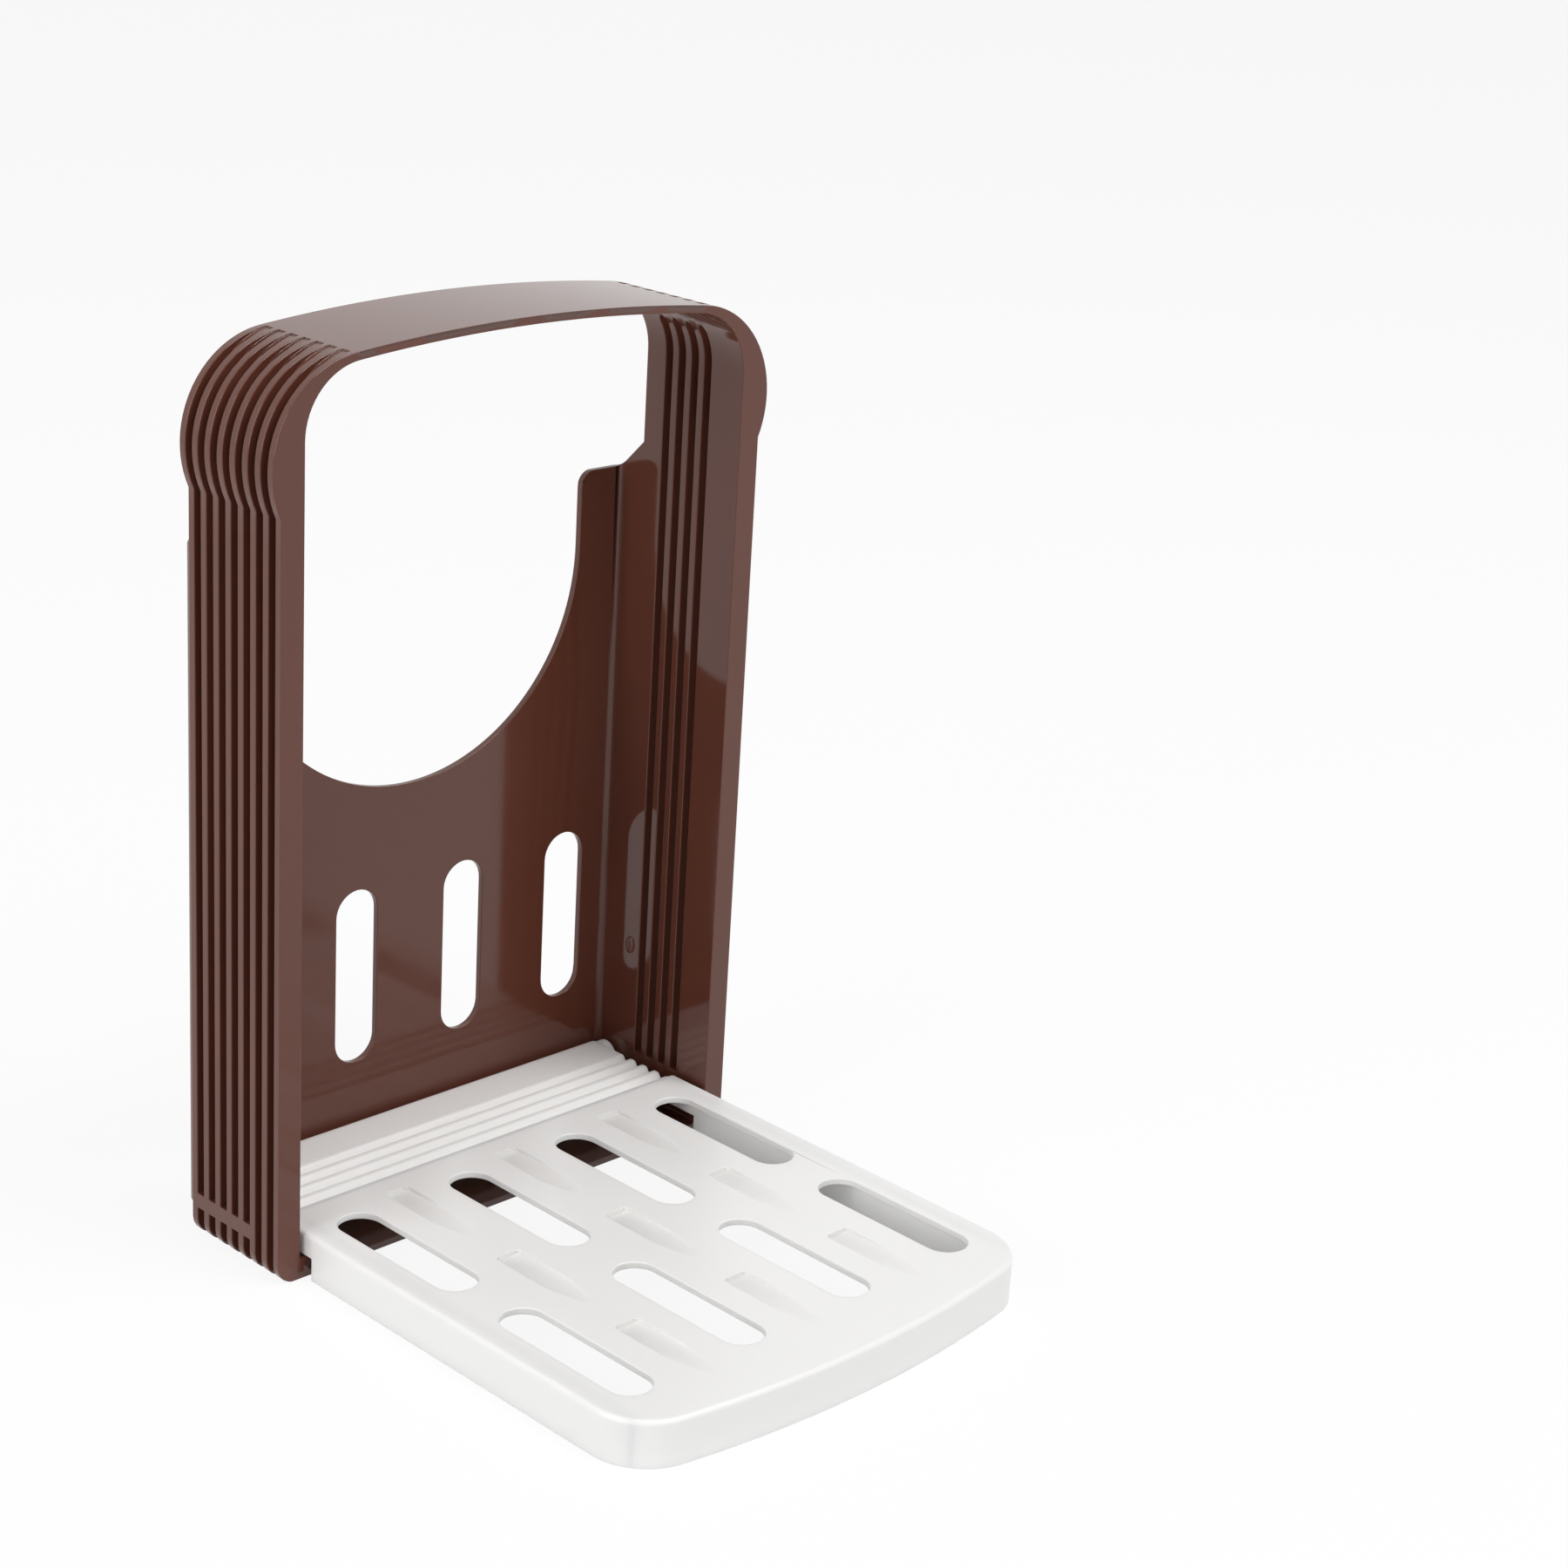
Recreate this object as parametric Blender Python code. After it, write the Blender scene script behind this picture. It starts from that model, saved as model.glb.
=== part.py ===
# Bread slicing guide: a brown moulded frame with upright knife slits and a white tray that folds up into it.
# Metres, +Z up. The loaf stands on the tray between the side walls, and the knife runs down in the slits.
# X is the width. Y points from the tray's front edge to the back panel. Z is 0 on the table.
# The origin is on the table, in the middle of the whole guide's width and depth with the tray down.

from math import acos, asin, atan2, cos, pi, radians, sin, sqrt

import bmesh
import bpy
from mathutils import Matrix, Vector

for old in list(bpy.data.objects):
    bpy.data.objects.remove(old)

# Frame, overall
BAY_WIDTH = 0.1344
FRAME_HEIGHT = 0.2280
CROWN_RADIUS = 0.4900
ARCH_THICKNESS = 0.0020
INNER_CORNER_RADIUS = 0.0168
EAR_RADIUS = 0.0250
EAR_REACH = 0.0088

# Side walls: fins outside a thin skin, with knife slits between the middle fins
SKIN = 0.0018
FIN_COUNT = 8
FIN_THICKNESS = 0.0022
SLIT_WIDTH = 0.0025
FIN_REACH = 0.0065
FIRST_SLIT_GAP = 2
SLIT_COUNT = 4
SLIT_TOP_ANGLE = radians(38)
FOOT_HEIGHT = 0.0120
FOOT_RADIUS = 0.0050
BAR_HEIGHT = 0.0040
BUMP_HEIGHT_ABOVE_TABLE = 0.0425
BUMP_LENGTH = 0.0050
BUMP_WIDTH = 0.0030
BUMP_PROUD = 0.0010

# Back panel behind the fins
BACK_DEPTH = 0.0099
PANEL_THICKNESS = 0.0018
PANEL_CORNER_RADIUS = 0.0020
PANEL_TOP = 0.1740
PANEL_BOTTOM = 0.0048
RETURN_RISE = 0.0080
CUT_OUT_WIDTH = 0.1074
CUT_OUT_BOTTOM = 0.1004
SHOULDER_RADIUS = 0.0040
BACK_SLOT_WIDTH = 0.0130
BACK_SLOT_BOTTOM = 0.0275
BACK_SLOT_TOP = 0.0750
BACK_SLOT_PITCH = 0.0347

# Bottom plate under the tray
PLATE_THICKNESS = 0.0020
PLATE_DEPTH = 0.0310
LEDGE_WIDTH = 0.0024
LEDGE_TOP = 0.0055

# Tray
TRAY_SIDE_GAP = 0.0013
TRAY_REACH = 0.1240
DECK_TOP = 0.0120
DECK_THICKNESS = 0.0018
SKIRT = 0.0020
FRONT_BOW_RADIUS = 0.3000
FRONT_CORNER_RADIUS = 0.0160
EDGE_RADIUS = 0.0012
RIB_FROM_SIDE = 0.0035
RIB_THICKNESS = 0.0016
RIB_FRONT_MARGIN = 0.0120
NOTCH_TOP = 0.0060
NOTCH_REACH = 0.0025
NOTCH_RADIUS = 0.0015
SLOT_COLUMNS = 4
SLOT_ROWS = 2
SLOT_WIDTH = 0.0114
SLOT_SIDE_MARGIN = 0.0077
SLOT_FRONT_MARGIN = 0.0179
SLOT_ROW_GAP = 0.0136
SLOT_START = 0.0012
POCKET_WIDTH = 0.0072
POCKET_LENGTH = 0.0300
POCKET_DEPTH = 0.0011
POCKET_START = 0.0040
POCKET_FRONT_MARGIN = 0.0138
POCKET_ROWS = 3

# Knife rest at the tray's rear, and the hinge
REST_INSET = 0.0021
GROOVE_DEPTH = 0.0018
TRAY_REAR_GAP = 0.0007
REAR_EDGE_RADIUS = 0.0030
REAR_BOTTOM = 0.0055
PIVOT_TO_PANEL = 0.0049
PIVOT_HEIGHT = 0.0082
PIVOT_EAR_RADIUS = 0.0039
PIVOT_EAR_GAP = 0.0010
STUB_RADIUS = 0.0016
STUB_CLEARANCE = 0.0003

# Seams between the solids of one moulding, and how far a cutter runs past what it cuts
SEAM = 0.0003
PAST = 0.0020

# Facets in a quarter turn
QUARTER = 8

# Sizes that follow from those above
BAY_HALF = BAY_WIDTH / 2
SKIN_OUT = BAY_HALF + SKIN
FIN_OUT = BAY_HALF + FIN_REACH
EAR_OUT = BAY_HALF + EAR_REACH
FIN_PITCH = FIN_THICKNESS + SLIT_WIDTH
RIB_DEPTH = (FIN_COUNT - 1) * FIN_PITCH + FIN_THICKNESS
FRAME_DEPTH = RIB_DEPTH + BACK_DEPTH
PANEL_FACE = FRAME_DEPTH - PANEL_THICKNESS
RETURN_TOP = PANEL_TOP + RETURN_RISE
LAST_SLIT_GAP = FIRST_SLIT_GAP + SLIT_COUNT - 1
FRONT_Y = (TRAY_REACH - FRAME_DEPTH) / 2

# Circles of the arch: the crown, and the corners that meet it smoothly inside and outside
CROWN_CENTRE_Z = FRAME_HEIGHT - CROWN_RADIUS
CROWN_INNER_RADIUS = CROWN_RADIUS - ARCH_THICKNESS
EAR_X = EAR_OUT - EAR_RADIUS
EAR_Z = CROWN_CENTRE_Z + sqrt((CROWN_RADIUS - EAR_RADIUS) ** 2 - EAR_X ** 2)
CORNER_X = BAY_HALF - INNER_CORNER_RADIUS
CORNER_Z = CROWN_CENTRE_Z + sqrt((CROWN_INNER_RADIUS - INNER_CORNER_RADIUS) ** 2 - CORNER_X ** 2)
KINK_Z = EAR_Z - sqrt(EAR_RADIUS ** 2 - (FIN_OUT - EAR_X) ** 2)
ARCH_HALF = CROWN_RADIUS * EAR_X / (CROWN_RADIUS - EAR_RADIUS)
SPRING_Z = CORNER_Z

# Tray
TRAY_HALF = BAY_HALF - TRAY_SIDE_GAP
REST_HALF = TRAY_HALF - REST_INSET
TRAY_REAR = PANEL_FACE - TRAY_REAR_GAP
PIVOT_Y = PANEL_FACE - PIVOT_TO_PANEL
REST_START = FIN_THICKNESS + FIRST_SLIT_GAP * FIN_PITCH + SLIT_WIDTH / 2 - FIN_PITCH / 2
REST_END = REST_START + SLIT_COUNT * FIN_PITCH
SLOT_PITCH = (2 * (TRAY_HALF - SLOT_SIDE_MARGIN) - SLOT_WIDTH) / (SLOT_COLUMNS - 1)
SLOT_SPAN = TRAY_REACH + SLOT_START - SLOT_FRONT_MARGIN
SLOT_LENGTH = (SLOT_SPAN - (SLOT_ROWS - 1) * SLOT_ROW_GAP) / SLOT_ROWS
POCKET_PITCH = (TRAY_REACH + POCKET_START - POCKET_FRONT_MARGIN - POCKET_LENGTH) / (POCKET_ROWS - 1)


# Outlines

def arc(centre_u, centre_v, radius, start, end, steps=QUARTER):
    """Points along an arc, both ends included."""
    turns = [start + (end - start) * step / steps for step in range(steps + 1)]
    return [(centre_u + radius * cos(turn), centre_v + radius * sin(turn)) for turn in turns]


def box_outline(low_u, low_v, high_u, high_v):
    return [(low_u, low_v), (high_u, low_v), (high_u, high_v), (low_u, high_v)]


def obround(centre_u, low_v, high_v, width):
    """A slot outline with round ends, upright in the plane."""
    radius = width / 2
    top = arc(centre_u, high_v - radius, radius, 0, pi, 2 * QUARTER)
    return top + arc(centre_u, low_v + radius, radius, pi, 2 * pi, 2 * QUARTER)


def mirrored(points, side):
    return [(side * u, v) for u, v in points]


def fin_span(index):
    """Front and rear faces of a fin, counted from the front."""
    return index * FIN_PITCH, index * FIN_PITCH + FIN_THICKNESS


def gap_span(index):
    """Front and rear of the gap behind a fin."""
    return fin_span(index)[1], fin_span(index + 1)[0]


# Mesh helpers

PLANES = {
    "XY": Matrix.Identity(3),
    "XZ": Matrix(((1, 0, 0), (0, 0, -1), (0, 1, 0))),
    "YZ": Matrix(((0, 0, 1), (1, 0, 0), (0, 1, 0))),
}
NORMAL = {"XY": Vector((0, 0, 1)), "XZ": Vector((0, 1, 0)), "YZ": Vector((1, 0, 0))}


def weld(mesh):
    """Close the loose caps of a converted curve, with its faces pointing out."""
    shape = bmesh.new()
    shape.from_mesh(mesh)
    bmesh.ops.remove_doubles(shape, verts=shape.verts, dist=1e-6)
    bmesh.ops.dissolve_degenerate(shape, edges=shape.edges, dist=1e-7)
    bmesh.ops.recalc_face_normals(shape, faces=shape.faces)
    shape.to_mesh(mesh)
    shape.free()


def slab(name, outlines, plane, low, high):
    """A mesh of flat outlines in a plane, thick from low to high along the plane's normal."""
    curve = bpy.data.curves.new(name, "CURVE")
    curve.dimensions = "2D"
    curve.fill_mode = "BOTH"
    curve.extrude = (high - low) / 2
    for outline in outlines:
        spline = curve.splines.new("POLY")
        spline.points.add(len(outline) - 1)
        for point, (u, v) in zip(spline.points, outline):
            point.co = (u, v, 0, 1)
        spline.use_cyclic_u = True
    guide = bpy.data.objects.new(name, curve)
    bpy.context.scene.collection.objects.link(guide)
    bpy.context.view_layer.update()
    mesh = bpy.data.meshes.new_from_object(guide.evaluated_get(bpy.context.evaluated_depsgraph_get()))
    bpy.data.objects.remove(guide)
    bpy.data.curves.remove(curve)
    placed = PLANES[plane].to_4x4()
    placed.translation = NORMAL[plane] * (low + high) / 2
    mesh.transform(placed)
    mesh.name = name
    weld(mesh)
    return mesh


def joined(name, meshes):
    """One mesh that holds several others as separate bodies."""
    shape = bmesh.new()
    for mesh in meshes:
        shape.from_mesh(mesh)
    whole = bpy.data.meshes.new(name)
    shape.to_mesh(whole)
    shape.free()
    return whole


def cylinder_along_x(name, radius, low_x, high_x, centre_y, centre_z):
    shape = bmesh.new()
    across = Matrix.Translation(((low_x + high_x) / 2, centre_y, centre_z)) @ Matrix.Rotation(pi / 2, 4, "Y")
    bmesh.ops.create_cone(shape, cap_ends=True, segments=4 * QUARTER, radius1=radius, radius2=radius,
                          depth=high_x - low_x, matrix=across)
    mesh = bpy.data.meshes.new(name)
    shape.to_mesh(mesh)
    shape.free()
    return mesh


# Collections, and the empties that carry the pieces

PARTS = bpy.data.collections.new("bread_slicing_guide")
CUTTERS = bpy.data.collections.new("cutters")
bpy.context.scene.collection.children.link(PARTS)
bpy.context.scene.collection.children.link(CUTTERS)

REFERENCE = bpy.data.objects.new("reference", None)
REFERENCE.location = (0, FRONT_Y, 0)
PARTS.objects.link(REFERENCE)

HINGE = bpy.data.objects.new("tray_hinge", None)
HINGE.parent = REFERENCE
HINGE.location = (0, PIVOT_Y, PIVOT_HEIGHT)
PARTS.objects.link(HINGE)


def plastic(name, colour, roughness):
    material = bpy.data.materials.new(name)
    material.use_nodes = True
    shader = material.node_tree.nodes["Principled BSDF"]
    shader.inputs["Base Color"].default_value = (*colour, 1)
    shader.inputs["Roughness"].default_value = roughness
    shader.inputs["Metallic"].default_value = 0
    material.diffuse_color = (*colour, 1)
    return material


BROWN = (0.085, 0.032, 0.022)
WHITE = (0.86, 0.86, 0.85)
PIECES = []


def part(name, mesh, colour, roughness, hinge=None):
    """A named piece of the guide, with its own material."""
    piece = bpy.data.objects.new(name, mesh)
    mesh.materials.clear()
    mesh.materials.append(plastic(name, colour, roughness))
    piece.parent = hinge or REFERENCE
    if hinge:
        piece.location = -hinge.location
    PARTS.objects.link(piece)
    PIECES.append(piece)
    return piece


def brown_part(name, mesh):
    return part(name, mesh, BROWN, 0.22)


def cutter(name, meshes):
    tool = bpy.data.objects.new(name, joined(name, meshes))
    tool.parent = REFERENCE
    tool.hide_render = True
    tool.display_type = "WIRE"
    CUTTERS.objects.link(tool)
    return tool


def boolean(piece, operation, tool):
    step = piece.modifiers.new(tool.name, "BOOLEAN")
    step.operation = operation
    step.solver = "EXACT"
    step.object = tool
    return step


def shade_by_angle(pieces):
    """Shade every piece smooth, with its edges over 30 degrees left sharp."""
    tree = bpy.data.node_groups.new("shade_by_angle", "GeometryNodeTree")
    tree.interface.new_socket("Geometry", in_out="INPUT", socket_type="NodeSocketGeometry")
    tree.interface.new_socket("Geometry", in_out="OUTPUT", socket_type="NodeSocketGeometry")
    source = tree.nodes.new("NodeGroupInput")
    result = tree.nodes.new("NodeGroupOutput")
    edge_angle = tree.nodes.new("GeometryNodeInputMeshEdgeAngle")
    blunt = tree.nodes.new("FunctionNodeCompare")
    blunt.operation = "LESS_EQUAL"
    blunt.inputs["B"].default_value = radians(30)
    smooth = tree.nodes.new("GeometryNodeSetShadeSmooth")
    smooth.domain = "EDGE"
    tree.links.new(edge_angle.outputs["Unsigned Angle"], blunt.inputs["A"])
    tree.links.new(blunt.outputs["Result"], smooth.inputs["Shade Smooth"])
    tree.links.new(source.outputs["Geometry"], smooth.inputs["Geometry"])
    tree.links.new(smooth.outputs["Geometry"], result.inputs["Geometry"])
    for piece in pieces:
        piece.data.shade_smooth()
        step = piece.modifiers.new("shade_by_angle", "NODES")
        step.node_group = tree


# Top arch: a thin crowned plate between the corners

def top_arch():
    half = ARCH_HALF - SEAM / 2
    steps = 3 * QUARTER
    lean = asin(half / CROWN_RADIUS)
    lean_inner = asin(half / CROWN_INNER_RADIUS)
    outside = arc(0, CROWN_CENTRE_Z, CROWN_RADIUS, pi / 2 - lean, pi / 2 + lean, steps)
    inside = arc(0, CROWN_CENTRE_Z, CROWN_INNER_RADIUS, pi / 2 + lean_inner, pi / 2 - lean_inner, steps)
    brown_part("top_arch", slab("top_arch", [outside + inside], "XZ", 0, RIB_DEPTH))


# Corners: the fins bulge into ears and curve over to meet the arch, and the slits end in their skin

def corner_outline(start_x, start_z):
    inner_start = asin((start_z - CORNER_Z) / INNER_CORNER_RADIUS)
    inner_end = acos((start_x - CORNER_X) / INNER_CORNER_RADIUS)
    outer_start = asin((start_z - EAR_Z) / EAR_RADIUS)
    outer_end = acos((start_x - EAR_X) / EAR_RADIUS)
    outside = arc(EAR_X, EAR_Z, EAR_RADIUS, outer_start, outer_end, 2 * QUARTER)
    inside = arc(CORNER_X, CORNER_Z, INNER_CORNER_RADIUS, inner_end, inner_start, 2 * QUARTER)
    return outside + inside


def corner_groove_outline():
    """What lies outside the skin round the corner, wide enough to clear the ear."""
    radius = INNER_CORNER_RADIUS + SKIN
    far_x = EAR_OUT + PAST
    far_z = FRAME_HEIGHT + PAST
    low_z = SPRING_Z - PAST
    skin_line = arc(CORNER_X, CORNER_Z, radius, 0, acos((ARCH_HALF - CORNER_X) / radius), 2 * QUARTER)
    outer_edge = [(SKIN_OUT, low_z), (far_x, low_z), (far_x, far_z), (skin_line[-1][0], far_z)]
    return outer_edge + skin_line[::-1]


def corner_slit_outline():
    """The upper end of a slit, from the wall's foot of the corner up to the slit's top angle."""
    radius = INNER_CORNER_RADIUS + SKIN + PAST / 4
    core = INNER_CORNER_RADIUS / 2
    low_z = SPRING_Z - PAST
    outer_line = arc(CORNER_X, CORNER_Z, radius, 0, SLIT_TOP_ANGLE)
    inner_end = (CORNER_X + core * cos(SLIT_TOP_ANGLE), CORNER_Z + core * sin(SLIT_TOP_ANGLE))
    return [(CORNER_X + core, low_z), (CORNER_X + radius, low_z)] + outer_line + [inner_end]


def corner(side, label):
    outline = mirrored(corner_outline(ARCH_HALF + SEAM / 2, SPRING_Z + SEAM / 2), side)
    piece = brown_part(label + "_corner", slab(label + "_corner", [outline], "XZ", 0, RIB_DEPTH))
    grooves = [slab("groove", [mirrored(corner_groove_outline(), side)], "XZ", *gap_span(index))
               for index in range(FIN_COUNT - 1)]
    boolean(piece, "DIFFERENCE", cutter(label + "_corner_grooves", grooves))
    slits = [slab("slit", [mirrored(corner_slit_outline(), side)], "XZ", *gap_span(index))
             for index in range(FIRST_SLIT_GAP, LAST_SLIT_GAP + 1)]
    boolean(piece, "DIFFERENCE", cutter(label + "_corner_slits", slits))


# Side walls between foot and corner: guides and ribs, with the slits between them

def post_outline():
    low = FOOT_HEIGHT + SEAM / 2
    high = SPRING_Z - SEAM / 2
    kink = -acos((FIN_OUT - EAR_X) / EAR_RADIUS)
    ear = arc(EAR_X, EAR_Z, EAR_RADIUS, kink, asin((high - EAR_Z) / EAR_RADIUS))
    return [(BAY_HALF, low), (FIN_OUT, low)] + ear + [(BAY_HALF, high)]


def post(side, name, first_fin, last_fin):
    """A stretch of side wall from one fin to another, with the grooves between its fins cut to the skin."""
    front = fin_span(first_fin)[0]
    rear = fin_span(last_fin)[1]
    piece = brown_part(name, slab(name, [mirrored(post_outline(), side)], "XZ", front, rear))
    if last_fin > first_fin:
        outline = box_outline(SKIN_OUT, FOOT_HEIGHT - PAST, EAR_OUT + PAST, SPRING_Z + PAST)
        grooves = [slab("groove", [mirrored(outline, side)], "XZ", *gap_span(index))
                   for index in range(first_fin, last_fin)]
        boolean(piece, "DIFFERENCE", cutter(name + "_grooves", grooves))
    return piece


def bump(side, name):
    """A low oval bump on the wall's inner face, which steadies the folded tray."""
    shape = bmesh.new()
    sunk = Matrix.Translation((side * BAY_HALF, (gap_span(FIN_COUNT - 2)[0] + gap_span(FIN_COUNT - 2)[1]) / 2,
                               BUMP_HEIGHT_ABOVE_TABLE))
    size = Matrix.Diagonal((BUMP_PROUD, BUMP_WIDTH / 2, BUMP_LENGTH / 2, 1))
    bmesh.ops.create_uvsphere(shape, u_segments=2 * QUARTER, v_segments=QUARTER, radius=1, matrix=sunk @ size)
    mesh = bpy.data.meshes.new(name)
    shape.to_mesh(mesh)
    shape.free()
    return mesh


def side_wall(side, label):
    post(side, label + "_front_guide", 0, FIRST_SLIT_GAP)
    for number, fin in enumerate(range(FIRST_SLIT_GAP + 1, LAST_SLIT_GAP + 1), 1):
        post(side, label + "_guide_rib_" + str(number), fin, fin)
    rear = post(side, label + "_rear_guide", LAST_SLIT_GAP + 1, FIN_COUNT - 1)
    boolean(rear, "UNION", cutter(label + "_bump", [bump(side, label + "_bump")]))


# Feet: the fins' rounded lower ends, tied by a bar across the rear grooves

def foot(side, label):
    high = FOOT_HEIGHT - SEAM / 2
    round_end = arc(FIN_OUT - FOOT_RADIUS, FOOT_RADIUS, FOOT_RADIUS, -pi / 2, 0)
    outline = [(BAY_HALF, 0)] + round_end + [(FIN_OUT, high), (BAY_HALF, high)]
    name = label + "_foot"
    piece = brown_part(name, slab(name, [mirrored(outline, side)], "XZ", 0, RIB_DEPTH))
    open_groove = box_outline(SKIN_OUT, -PAST, FIN_OUT + PAST, FOOT_HEIGHT + PAST)
    pocket = box_outline(SKIN_OUT, -PAST, FIN_OUT + PAST, FOOT_HEIGHT - BAR_HEIGHT)
    grooves = [slab("groove", [mirrored(open_groove if index < FIRST_SLIT_GAP else pocket, side)], "XZ",
                    *gap_span(index)) for index in range(FIN_COUNT - 1)]
    boolean(piece, "DIFFERENCE", cutter(name + "_grooves", grooves))


# Back panel: a channel behind the fins, cut out for the hand and slotted

def back_panel():
    front = RIB_DEPTH + SEAM
    inner = PANEL_CORNER_RADIUS
    outer = PANEL_CORNER_RADIUS + SKIN
    outside = arc(SKIN_OUT - outer, FRAME_DEPTH - outer, outer, 0, pi / 2)
    inside = arc(BAY_HALF - inner, PANEL_FACE - inner, inner, pi / 2, 0)
    right = [(SKIN_OUT, front)] + outside
    left = [(-x, y) for x, y in reversed(right)]
    left_inside = [(-x, y) for x, y in reversed(inside + [(BAY_HALF, front)])]
    channel = right + left + left_inside + inside + [(BAY_HALF, front)]
    piece = brown_part("back_panel", slab("back_panel", [channel], "XY", PANEL_BOTTOM, RETURN_TOP))

    slope = [(front, RETURN_TOP), (PANEL_FACE, PANEL_TOP), (FRAME_DEPTH + PAST, PANEL_TOP),
             (FRAME_DEPTH + PAST, RETURN_TOP + PAST), (front, RETURN_TOP + PAST)]
    top = slab("slope", [slope], "YZ", -SKIN_OUT - PAST, SKIN_OUT + PAST)
    boolean(piece, "DIFFERENCE", cutter("back_panel_top", [top]))

    radius = CUT_OUT_WIDTH / 2
    flare = radius + SHOULDER_RADIUS
    bowl = arc(0, CUT_OUT_BOTTOM + radius, radius, pi, 2 * pi, 4 * QUARTER)
    right_shoulder = arc(flare, PANEL_TOP - SHOULDER_RADIUS, SHOULDER_RADIUS, pi, pi / 2)
    left_shoulder = [(-x, z) for x, z in reversed(right_shoulder)]
    above = [(flare, RETURN_TOP + PAST), (-flare, RETURN_TOP + PAST)]
    cut_out = slab("cut_out", [bowl + right_shoulder + above + left_shoulder], "XZ", front + PAST,
                   FRAME_DEPTH + PAST)
    slots = [slab("slot", [obround(column_x(column, BACK_SLOT_PITCH), BACK_SLOT_BOTTOM, BACK_SLOT_TOP, BACK_SLOT_WIDTH)], "XZ",
                  PANEL_FACE - PANEL_THICKNESS, FRAME_DEPTH + PAST) for column in range(SLOT_COLUMNS)]
    boolean(piece, "DIFFERENCE", cutter("back_panel_openings", [cut_out] + slots))

    hole = STUB_RADIUS + STUB_CLEARANCE
    reach = SKIN_OUT + PAST
    pivots = cylinder_along_x("pivot_holes", hole, -reach, reach, PIVOT_Y, PIVOT_HEIGHT)
    boolean(piece, "DIFFERENCE", cutter("pivot_holes", [pivots]))


# Bottom plate: joins the two feet under the tray, with a low ledge along each wall

def bottom_plate():
    half = BAY_HALF - SEAM
    outline = [(-half, 0), (half, 0), (half, LEDGE_TOP), (half - LEDGE_WIDTH, LEDGE_TOP),
               (half - LEDGE_WIDTH, PLATE_THICKNESS), (LEDGE_WIDTH - half, PLATE_THICKNESS),
               (LEDGE_WIDTH - half, LEDGE_TOP), (-half, LEDGE_TOP)]
    brown_part("bottom_plate", slab("bottom_plate", [outline], "XZ", 0, PLATE_DEPTH))


# Tray

def column_x(column, pitch):
    return (column - (SLOT_COLUMNS - 1) / 2) * pitch


def tray_outline(inset, rear):
    """The deck's plan: straight sides, round front corners and a bowed front edge, set in by inset."""
    half = TRAY_HALF - inset
    corner_radius = FRONT_CORNER_RADIUS - inset
    bow_radius = FRONT_BOW_RADIUS - inset
    bow_y = FRONT_BOW_RADIUS - TRAY_REACH
    corner_x = half - corner_radius
    corner_y = bow_y - sqrt((bow_radius - corner_radius) ** 2 - corner_x ** 2)
    meet = atan2(corner_y - bow_y, corner_x)
    round_corner = arc(corner_x, corner_y, corner_radius, meet, 0)
    front = arc(0, bow_y, bow_radius, -pi - meet, meet, 2 * QUARTER)
    left_corner = [(-x, y) for x, y in reversed(round_corner)]
    return left_corner + front[1:-1] + round_corner + [(half, rear), (-half, rear)]


def rounded_deck(rear):
    """The deck's block with its top edge rounded, apart from the edge where the knife rest joins it."""
    mesh = slab("tray", [tray_outline(0, rear)], "XY", 0, DECK_TOP)
    shape = bmesh.new()
    shape.from_mesh(mesh)
    bmesh.ops.dissolve_limit(shape, angle_limit=radians(1), verts=shape.verts, edges=shape.edges)
    rim = [edge for edge in shape.edges if edge.is_manifold and edge.calc_face_angle() > radians(60)
           and all(vert.co.z > DECK_TOP - 1e-5 for vert in edge.verts)
           and not all(vert.co.y > rear - 1e-5 for vert in edge.verts)]
    bmesh.ops.bevel(shape, geom=rim, offset=EDGE_RADIUS, segments=QUARTER // 2, profile=0.5, affect="EDGES",
                    material=-1)
    shape.to_mesh(mesh)
    shape.free()
    return mesh


def rest_profile():
    """Side view of the knife rest: grooves behind the slits, a flat band and a rounded rear edge."""
    steps = SLIT_COUNT * QUARTER
    start = REST_START + FIN_PITCH / 16
    waves = []
    for step in range(steps + 1):
        y = start + (REST_END - start) * step / steps
        dip = sin(pi * (y - REST_START) / FIN_PITCH) ** 4
        waves.append((y, DECK_TOP - GROOVE_DEPTH * dip))
    rear_round = arc(TRAY_REAR - REAR_EDGE_RADIUS, DECK_TOP - REAR_EDGE_RADIUS, REAR_EDGE_RADIUS, pi / 2, 0)
    foot_radius = REAR_EDGE_RADIUS * 2 / 3
    lower_round = arc(TRAY_REAR - foot_radius, REAR_BOTTOM + foot_radius, foot_radius, 0, -pi / 2)
    front = REST_START - SKIRT / 2
    return [(front, REAR_BOTTOM), (front, DECK_TOP - DECK_THICKNESS / 3)] + waves + rear_round + lower_round


def pocket_wedge(centre_x, rear_y):
    """A ramp pocket: square and deepest at its rear, running out to the front."""
    lift = PAST * POCKET_DEPTH / POCKET_LENGTH
    outline = [(rear_y, DECK_TOP + PAST), (rear_y, DECK_TOP - POCKET_DEPTH),
               (rear_y - POCKET_LENGTH - PAST, DECK_TOP + lift), (rear_y - POCKET_LENGTH, DECK_TOP + PAST)]
    return slab("pocket", [outline], "YZ", centre_x - POCKET_WIDTH / 2, centre_x + POCKET_WIDTH / 2)


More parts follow.
